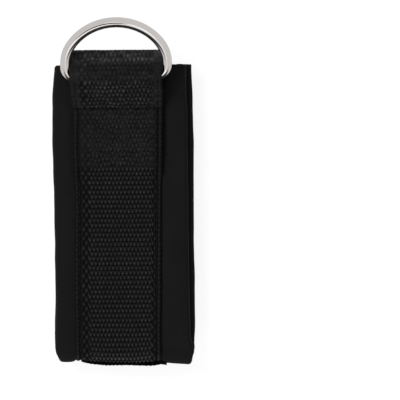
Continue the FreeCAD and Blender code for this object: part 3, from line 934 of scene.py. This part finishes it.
def build_ring_loop():
    """The webbing from the seam, along the pad, round the turn and back over the ring's bar."""
    half = WEBBING / 2
    turn_r = 2.9
    lower = LOOP_LOW[2] + half
    upper = STRAP_HIGH[2] - half
    reach = LOOP_HIGH[1] - half
    top_corner = (reach, lower + 2 * turn_r)
    landing = (SEAM_Y + 1.9, upper)
    bend_r = LOOP_HIGH[2] - BAR[2] - half
    slopes = []
    for corner in (top_corner, landing):
        gap = (BAR[1] - corner[0], BAR[2] - corner[1])
        slopes.append(math.tan(math.atan2(gap[1], abs(gap[0])) + math.asin(bend_r / math.hypot(*gap))))
    apex_y = (top_corner[1] + slopes[0] * top_corner[0] - landing[1] + slopes[1] * landing[0]) / sum(slopes)
    apex = (apex_y, landing[1] + slopes[1] * (apex_y - landing[0]))
    points = [(SEAM_Y, lower), (reach, lower), top_corner, apex, landing, (SEAM_Y, upper)]
    path = side_path(points, [turn_r, turn_r, bend_r, 4.0], PERIOD / 12)
    length = path[0][-1]
    y = path[1][:, 0]

    def along_pad(s):
        """The Y of each row of points."""
        return np.interp(s[:, 0] + length, path[0], y)[:, None]

    def calm(u, s):
        """Stretched smooth where it lies over the bar, and flattened by the turn above it."""
        y_here = along_pad(s)
        over_bar = 0.42 * ramp(y_here, 59.0, 62.0) * (1 - ramp(y_here, 68.5, 70.5))
        flattened = (0.42 + 0.14 * noise(u / 2.5, s / 1.6, 75)) * ramp(y_here, 68.5, 70.5)
        beside = 0.45 * ramp(np.abs(u), 18.5, 20.3) * (1 - ramp(np.abs(u), 21.8, 22.6))
        uneven = 0.16 + 0.16 * noise(u / 2.7, s / 2.4, 76)
        return 1 - np.clip(over_bar + flattened + beside + uneven, 0, 0.9) * (s > -0.55 * length)

    def shade(x, s):
        """Painted highlight where the webbing rolls over at the top, most at its frayed right corner."""
        y_here = along_pad(s)
        painted_roll_highlight = ramp(y_here, 69.0, 71.0)
        uneven = 0.72 + 0.3 * noise(x / 3.3, s / 2.2, 73) + 0.4 * noise(x / 0.9, s / 1.9, 74)
        corner = 0.5 * ramp(x, STRAP_X + 19.0, STRAP_X + 23.0) * ramp(y_here, 72.0, 75.0)
        left_band = 0.15 * (1 - ramp(x, STRAP_X - 17.0, STRAP_X - 15.0))
        # Painted highlight on the slope between the seam and the bar.
        painted_slope_highlight = 0.12 * (1 - ramp(y_here, 57.0, 61.0))
        streaks = 0.2 * noise(x / 0.8, s / 2.4, 78) + 0.2 * noise(x / 5.0, s / 0.9, 79)
        return 1 + painted_roll_highlight * (1.1 * uneven + corner) + left_band + painted_slope_highlight + streaks

    def lift(x, s, place):
        return 0.08 * noise(x / 9.0, s / 12.0, 71)

    edges = strap_edges(y, True)
    build_webbing("ring_loop", "ring_loop", "front_half", path, -length, edges, lift, calm, shade)


def build_fold_strap(start):
    """The webbing round the bottom fold."""
    radius = (PAD_OUTER_R + STRAP_OUTER_R) / 2
    turns = np.linspace(0, math.pi, 49)
    normal = np.stack([-np.sin(turns), np.cos(turns)], -1)
    place = np.array([CREASE[1], CREASE[2]]) + normal * radius
    s = turns * radius
    y = place[:, 0]

    def lift(x, s_all, place):
        """How far the strap stands from its even bend at an angle from the top."""
        turn = (s_all - start) / radius
        tuck = np.cos(turn) ** 2
        even = -PINCH * tuck + (strap_reach(x) - STRAP_OUTER_R) * (1 - tuck)
        return even - 0.28 * lobe(np.abs(x - STRAP_X), GROOVE * 0.95, 0.9)

    def shade(x, s_all):
        """Painted highlight on the rows partway round the fold."""
        uneven = 1 + 0.5 * noise(x / 4.0, s_all / 1.5, 77)
        return 1 + 0.5 * lobe((s_all - start) / radius, 0.8, 0.7) * uneven

    share = ramp(turns, 0.8, 2.4)
    ends = zip(strap_edges(y, True), strap_edges(y, False))
    edges = [front * (1 - share) + back * share for front, back in ends]
    build_webbing("fold", "fold_strap", FOLD_BEND, (s, place, normal), start, edges, lift, shade=shade)
    return start + s[-1]


def build_hidden_webbing(start):
    """The back strap, the tail's turn, the tail and the end that is tucked under the box of stitches."""
    half = WEBBING / 2
    path = straight(CREASE_GAP_Y, BACK_STRAP_HIGH[1], BACK_STRAP_LOW[2] + half, PERIOD / 8, up=-1)

    def back_lift(x, s, place):
        return -pinch(place[:, 0:1]) - 0.1 * lobe(np.abs(x - STRAP_X), 20.6, 0.9)

    def flat(x, s, place):
        return 0.0 * x

    edges = strap_edges(0, False)
    build_webbing("back", "back_strap", "back_half", path, start, edges, back_lift, plain_inside=True)
    start += path[0][-1]

    radius = TAIL_AXIS[2] - half
    turns = np.linspace(0, math.pi, 17)
    inward = np.stack([-np.sin(turns), -np.cos(turns)], -1)
    path = (turns * radius, np.array([TAIL_AXIS[1], TAIL_AXIS[2]]) - inward * radius, inward)
    edges = (TAIL_LOW[0], TAIL_HIGH[0])
    build_webbing("tail_turn", "tail_turn", TAIL_BEND, path, start, edges, flat)
    start += path[0][-1]
    path = straight(TAIL_HIGH[1], TAIL_LOW[1], half, PERIOD / 10, up=-1)
    build_webbing("tail", "tail_strap", "tail", path, start, edges, flat)

    path = straight(TUCK_HIGH[1], TUCK_LOW[1], TUCK_LOW[2] + half, PERIOD / 8)
    left, right = strap_edges(path[1][:, 0], True)
    edges = (left + 0.1, right - 0.1)
    build_webbing("tucked_end", "tucked_end", "front_half", path, 0.0, edges, flat, plain_inside=True)


# ---- tapes


def pile(x, s, seed):
    """Height of the tangled loops, 0 to 1."""
    coarse, fine = noise(x / 0.9, s / 0.9, seed), noise(x / 0.45, s / 0.45, seed + 1)
    return np.clip(0.5 + 0.5 * coarse + 0.35 * fine, 0, 1)


def finish_tape(name, slot, bodies, node, outer, inner, tone):
    """A closed tape between two matching grids of points."""
    obj = shell(name, outer, inner, np.concatenate([tone, 0.3 + 0 * tone], 1))
    finish_piece(obj, TAPE_LOOKS[slot], slot, bodies, node)


def build_loop_tape():
    """Loop tape on the strap's outer face, up the back and round the fold to its cut end."""
    left, right = LOOP_TAPE_LOW[0], LOOP_TAPE_HIGH[0]
    x = np.linspace(left, right, 90)[None, :]
    y = np.linspace(CREASE_GAP_Y, LOOP_TAPE_HIGH[1], 250)[:, None]
    fluff = pile(x, y, 81) * ramp(np.minimum(x - left, right - x), 0.0, 1.2)
    outer = grid(x, y, LOOP_TAPE_LOW[2] + 0.35 - 0.35 * fluff + pinch(y))
    inner = grid(x, y, LOOP_TAPE_HIGH[2] + pinch(y) + 0 * x)
    finish_tape("loop_tape_back", "loop_tape", "back_half", "loop_tape", outer, inner, fluff)

    x = np.linspace(left, right, 170)[None, :]
    first = math.radians(63.0)
    ragged = 0.05 * np.abs(np.sin(math.pi * x / 1.05)) + 0.04 * noise(x / 1.7, x * 0, 83)
    turn = first + ragged + (math.pi - first - ragged) * np.linspace(0, 1, 40)[:, None]
    fluff = pile(x, (turn - first) * STRAP_OUTER_R, 84)
    tuck = np.cos(turn) ** 2
    scallop = 0.16 * np.abs(np.sin(math.pi * x / 2.05 + 0.6 * noise(x / 5.0, x * 0, 85)))
    even = LOOP_TAPE_THICK + STRAP_OUTER_R - PINCH
    reach = even * tuck + (tape_reach(x) - scallop) * (1 - tuck) - 0.3 * (1 - fluff)
    on_strap = strap_reach(np.clip(x, -26, FOLD_RIGHT)) + 0.6 * ramp(x, FOLD_RIGHT, 22.7)
    hang = np.clip(on_strap, None, tape_reach(x) - 0.5)
    base = (STRAP_OUTER_R - PINCH) * tuck + hang * (1 - tuck) + 0.03
    rise = np.cos(turn)
    outer, inner = (grid(x, CREASE[1] - r * np.sin(turn), CREASE[2] + r * rise) for r in (reach, base))
    finish_tape("loop_tape_fold", "loop_tape", FOLD_BEND, "fold_loop_tape", outer, inner, fluff)


def build_hook_tape():
    """Hook tape on the tail: a woven ground with rows of small bent hooks."""
    low, high = HOOK_TAPE_LOW, HOOK_TAPE_HIGH
    ground = low[2] + 0.3
    row_pitch, hook_pitch, hook_r = 1.35, 1.2, 0.15
    x = np.linspace(low[0], high[0], 74)[None, :]
    y = np.linspace(low[1], high[1], 120)[:, None]
    rib = 0.5 + 0.5 * np.cos(2 * math.pi * y / row_pitch) + 0 * x
    outer = grid(x, y, ground - 0.1 + 0.1 * rib)
    finish_tape("hook_tape_ground", "hook_tape", "tail", "hook_tape", outer, grid(x, y, low[2]), 0.4 * rib)
    hooks = []
    top = ground + (high[2] - ground) - 0.17
    arc = np.linspace(0, 1.25 * math.pi, 5)
    for i, hook_y in enumerate(np.arange(low[1] + 1.2, high[1] - 1.0, row_pitch)):
        for hook_x in np.arange(low[0] + 2.2 + 0.55 * (i % 2), high[0] - 2.0, hook_pitch):
            way = 1 if hash01(i, round(hook_x * 10), 91) > 0.5 else -1
            bent = grid(hook_x, hook_y + way * hook_r * (1 - np.cos(arc)), top + hook_r * np.sin(arc))
            line = np.concatenate([[[hook_x, hook_y, ground - 0.1]], bent])
            hooks.append(tube_along(line, [0.08, 0.075, 0.07, 0.07, 0.065, 0.05], 4, up=(1, 0, 0)))
    obj = join_tubes("hook_tape_hooks", hooks, crown=np.full(len(hooks) * hooks[0].size // 3, 0.9))
    finish_piece(obj, TAPE_LOOKS["hook_tape"], "hook_tape", "tail")


# ---- stitching


THREAD_R = 0.21
EDGE_ROW = 2.62  # from the webbing's edge to its sewn row, at the nominal width


def stitch_row(start, end, pitch, height, seed, up=1.0):
    """Stitches along a straight row. height(x, y) is the thread's crest, and up its outer side."""
    start, end = np.array(start, float), np.array(end, float)
    length = np.linalg.norm(end - start)
    count = max(1, int(round(length / pitch)))
    tubes = []
    for i in range(count):
        jitter = 0.05 * (hash01(i, 0, seed) - 0.5)
        t = (i + 0.12 + jitter + 0.76 * np.linspace(0, 1, 7)) / count
        plan = start + (end - start) * t[:, None]
        side = np.array([-(end - start)[1], (end - start)[0]]) / length
        plan = plan + side * 0.1 * (hash01(i, 1, seed) - 0.5)
        arch = np.sin(np.linspace(0, math.pi, 7)) ** 0.6
        z = height(plan[:, 0], plan[:, 1]) - up * (THREAD_R + 0.38 * (1 - arch))
        line = np.concatenate([plan, z[:, None]], 1)
        tubes.append(tube_along(line, THREAD_R * (0.7 + 0.3 * arch), 8))
    return tubes


def finish_rows(name, rows, body, node):
    finish_piece(join_tubes("stitches_" + name, rows), THREAD_LOOK, "thread", body, node)


def build_tape_stitching(name, body, height, seed, up=1.0):
    """A row along each side of a tape."""
    low, high = node_box(name + "_stitching")
    rows = []
    for x in (low[0] + ROW_INSET, high[0] - ROW_INSET):
        rows += stitch_row((x, low[1]), (x, high[1]), 3.4, lambda x, y: height(low, high, y), seed, up)
    finish_rows(name, rows, body, name + "_stitching")


def build_stitching():
    """The rows of thread: box and cross, strap edges and tapes."""
    (left, bottom), (right, top) = STITCH_LOW[:2] + ROW_INSET, STITCH_HIGH[:2] - ROW_INSET
    corners = [(left, bottom), (right, bottom), (right, top), (left, top)]
    rows = []
    for start, end, seed in ((0, 1, 100), (1, 2, 101), (2, 3, 102), (3, 0, 103), (0, 2, 105), (1, 3, 106)):
        rows += stitch_row(corners[start], corners[end], 3.1, lambda x, y: STITCH_HIGH[2] - 0.3 + 0 * x, seed)
    finish_rows("box_and_cross", rows, "front_half", "box_x_stitching")

    low, high = node_box("strap_edge_stitching")
    rows = []
    ys = np.linspace(high[1], low[1], 6)
    for side, edge in ((-1, strap_left), (1, strap_right)):
        xs = edge(ys) - side * EDGE_ROW * (strap_right(ys) - strap_left(ys)) / (2 * NOMINAL_HALF)
        ends = np.stack([xs, ys], -1)
        for i in range(5):
            seed = 110 + i + 7 * side
            rows += stitch_row(ends[i], ends[i + 1], 4.4, lambda x, y: high[2] - 0.22 - pinch(y), seed)
    finish_rows("strap_edges", rows, "front_half", "strap_edge_stitching")

    build_tape_stitching("loop_tape", "back_half", lambda low, high, y: low[2] + 0.05 + pinch(y), 121, -1.0)
    build_tape_stitching("hook_tape", "tail", lambda low, high, y: high[2] - 0.05 + 0 * y, 131)


# ---- D-ring

# The rod's centre line: half width, corner radius, straight arm, and the arch's rise and side radius.
ROD_R = 2.78
RING_HALF = 27.55
RING_CORNER = 6.5
RING_ARM = 1.9
RING_RISE = 23.9
RING_SIDE_R = 20.0
RING_TILT = math.radians(25.0)


def ring_line(step):
    """The D-ring's centre line in its own plane, closed, its bar along X through the origin."""
    base = RING_CORNER + RING_ARM
    spread = RING_HALF - RING_SIDE_R
    top_r = (spread ** 2 + RING_RISE ** 2 - RING_SIDE_R ** 2) / (2 * (RING_RISE - RING_SIDE_R))
    lean = math.atan2(top_r - RING_RISE, spread)

    def arc(cx, cy, radius, start, end):
        turn = np.linspace(start, end, max(3, int(abs(end - start) * radius / 0.1)))
        return np.stack([cx + radius * np.cos(turn), cy + radius * np.sin(turn)], -1)

    right = np.concatenate([
        [[0.0, 0.0]],
        arc(RING_HALF - RING_CORNER, RING_CORNER, RING_CORNER, -math.pi / 2, 0),
        arc(spread, base, RING_SIDE_R, 0, lean),
        arc(0, base + RING_RISE - top_r, top_r, lean, math.pi / 2),
    ])
    dense = np.concatenate([right, (right[::-1] * [-1, 1])[1:]])
    length = distances(dense)[-1]
    return on_line(dense, np.linspace(0, length, int(length / step), endpoint=False))


def build_ring():
    """The D-ring: one bent and welded rod."""
    line = ring_line(0.55)
    path = np.concatenate([line, np.zeros((len(line), 1))], 1)
    along = unit(np.roll(path, -1, 0) - np.roll(path, 1, 0))
    outward = np.stack([along[:, 1], -along[:, 0], 0 * along[:, 0]], -1)
    weld = 1 + 0.035 * lobe(path[:, 0], 0, 0.9) * (path[:, 1] < 1)
    points = circles(path, outward, np.array([[0, 0, 1.0]]), ROD_R * weld, 56)
    tilted = rotated(points, 1, 2, RING_TILT)
    turned = rotated(tilted, 0, 1, math.atan2(BAR_AXIS[1], BAR_AXIS[0]))
    obj = loft("d_ring_rod", turned + BAR, closed=True)
    finish_piece(obj, STEEL_LOOK, "steel", "d_ring", "d_ring")


# ---- studio


def build_camera():
    """Straight above, with the cuff in the left half of the picture."""
    data = bpy.data.cameras.new("camera")
    camera = add_object("camera", data)
    height = 3.0
    webbing_height = 0.015
    picture_width = 0.2174
    data.sensor_width = 36.0
    data.lens = data.sensor_width * (height - webbing_height) / picture_width
    data.clip_start = 0.1
    data.clip_end = 50.0
    camera.location = (0.0414, -0.00443, height)
    camera.rotation_euler = (0.0, 0.0, math.radians(-0.4))
    bpy.context.scene.camera = camera


def build_floor():
    """A plain white table, just under the cuff."""
    mesh = bpy.data.meshes.new("floor")
    mesh.from_pydata([(x, y, -0.0001) for x, y in ((-8, -8), (8, -8), (8, 8), (-8, 8))], [], [(0, 1, 2, 3)])
    floor = add_object("floor", mesh)
    mesh.materials.append(floor_material())
    floor.visible_glossy = False


# Direction, inner and outer edge in degrees, and strength.
BRIGHT_PANELS = (((0.09, -0.70, 0.71), 3, 6, 0.5), ((-0.04, -0.05, 1.0), 5, 8, 0.35),
                 ((-0.10, -0.65, 0.755), 5, 8, 0.9), ((0.19, -0.45, 0.87), 5, 10, 0.65))


def build_world():
    """An even studio dome. Its dark panel, dark band low in front and bright panels are for the metal."""
    world = bpy.data.worlds.new("studio")
    world.use_nodes = True
    bpy.context.scene.world = world
    g = Graph(world.node_tree)
    way = g.node("ShaderNodeTexCoord", {}).outputs["Generated"]

    def panel(direction, inner_deg, outer_deg):
        """1 within inner_deg of a direction, 0 beyond outer_deg."""
        aim = Vector(direction).normalized()
        dot = g.node("ShaderNodeVectorMath", {0: way, 1: aim}, operation="DOT_PRODUCT").outputs["Value"]
        return g.step(dot, math.cos(math.radians(outer_deg)), math.cos(math.radians(inner_deg)))

    place = g.node("ShaderNodeSeparateXYZ", {0: way}).outputs
    flat = g.math("SQRT", g.math("SUBTRACT", 1.0001, g.math("POWER", place["Z"], 2.0)))
    facing = g.math("DIVIDE", g.times(place["Y"], -1.0), flat)
    beside = g.step(facing, math.cos(math.radians(42)), math.cos(math.radians(24)))
    band = g.times(beside, g.step(place["Z"], 0.56, 0.46))
    dark_panel = g.times(panel((-0.13, -0.43, 0.895), 10, 14), 1.0)
    dark = g.math("MAXIMUM", dark_panel, g.times(band, 0.97))
    level = g.times(0.62, g.math("SUBTRACT", 1.0, dark))
    for direction, inner_deg, outer_deg, bright in BRIGHT_PANELS:
        level = g.plus(level, g.times(panel(direction, inner_deg, outer_deg), bright))
    g.feed(world.node_tree.nodes["Background"], {"Strength": level, "Color": (1.0, 0.985, 0.975, 1.0)})


def add_lamp(name, place, power):
    """A soft square lamp aimed at the origin."""
    data = bpy.data.lights.new(name, "AREA")
    data.shape = "SQUARE"
    data.size = 0.8
    data.energy = power
    lamp = add_object(name, data)
    lamp.location = place
    lamp.rotation_euler = (-Vector(place)).to_track_quat("-Z", "Y").to_euler()
    lamp.visible_glossy = False


build_camera()
build_ring()
build_half("front", True)
build_half("back", False)
build_pad_fold()
strap_start = build_front_strap()
build_ring_loop()
strap_start = build_fold_strap(strap_start)
build_hidden_webbing(strap_start)
build_loop_tape()
build_hook_tape()
build_stitching()
build_floor()
build_world()
add_lamp("key", (-1.1, 0.85, 1.15), 34.0)
add_lamp("fill", (-0.4, -1.5, 0.55), 25.0)

settings = bpy.context.scene.view_settings
settings.view_transform = "Standard"
settings.look = "None"
settings.exposure = 0.0
settings.gamma = 1.0
